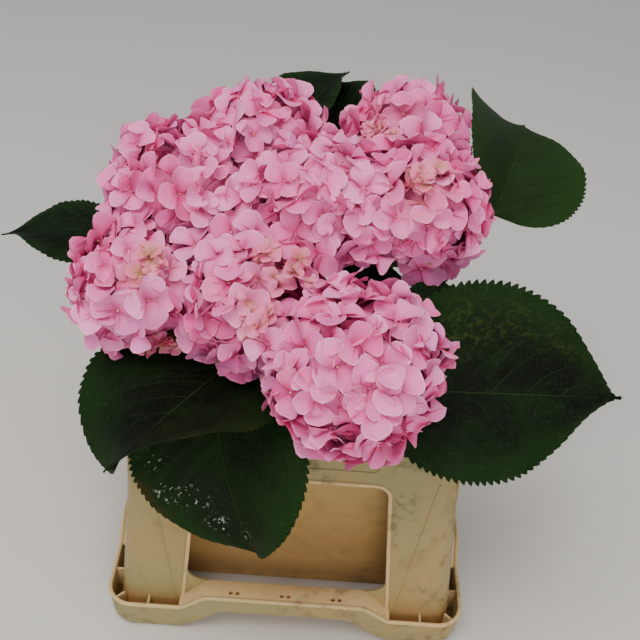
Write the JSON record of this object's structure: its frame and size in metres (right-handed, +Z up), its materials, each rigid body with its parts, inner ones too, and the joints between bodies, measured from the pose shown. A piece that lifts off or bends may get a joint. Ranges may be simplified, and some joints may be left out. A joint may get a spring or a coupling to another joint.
{
  "type": "cut hydrangea bunch in flower container",
  "caption": "Bunch of cut pink mophead hydrangeas with large toothed leaves, standing in a tall rectangular plastic flower container with a flared, windowed stand.",
  "frame": {"origin": "on the ground under the middle of the container, where its underside rests", "axes": "+Z up, +X along the container's long side, and -Y the long side that the front bloom leans out over"},
  "size_m": [0.6419, 0.5546, 0.5477],
  "materials": {
    "tub": "matte, slightly translucent beige moulding",
    "stand": "matte beige moulding, scuffed",
    "stem": "half-woody green stems",
    "leaf": "dark green, slightly shiny leaf",
    "bloom": "pink petals, soft and matte"
  },
  "bodies": {
    "root": {"tub": "tub", "stand_foot": "stand", "stand_legs": "stand", "stand_rim": "stand", "stem_front": "stem", "stem_front_left": "stem", "stem_left": "stem", "stem_back_left": "stem", "stem_top_left": "stem", "stem_middle": "stem", "stem_right": "stem", "stem_top_right": "stem", "stem_back": "stem", "leaf_right": "leaf", "leaf_right_small": "leaf", "leaf_lower_left": "leaf", "leaf_front": "leaf", "leaf_far_left": "leaf", "leaf_upper_right": "leaf", "leaf_top": "leaf", "leaf_top_behind": "leaf", "leaf_under": "leaf", "leaf_back_left": "leaf", "leaf_back_right": "leaf", "leaf_low_right": "leaf", "leaf_low_left": "leaf", "bloom_front": "bloom", "bloom_front_left": "bloom", "bloom_left": "bloom", "bloom_back_left": "bloom", "bloom_top_left": "bloom", "bloom_middle": "bloom", "bloom_right": "bloom", "bloom_top_right": "bloom", "bloom_back": "bloom"}
  },
  "joints": []
}
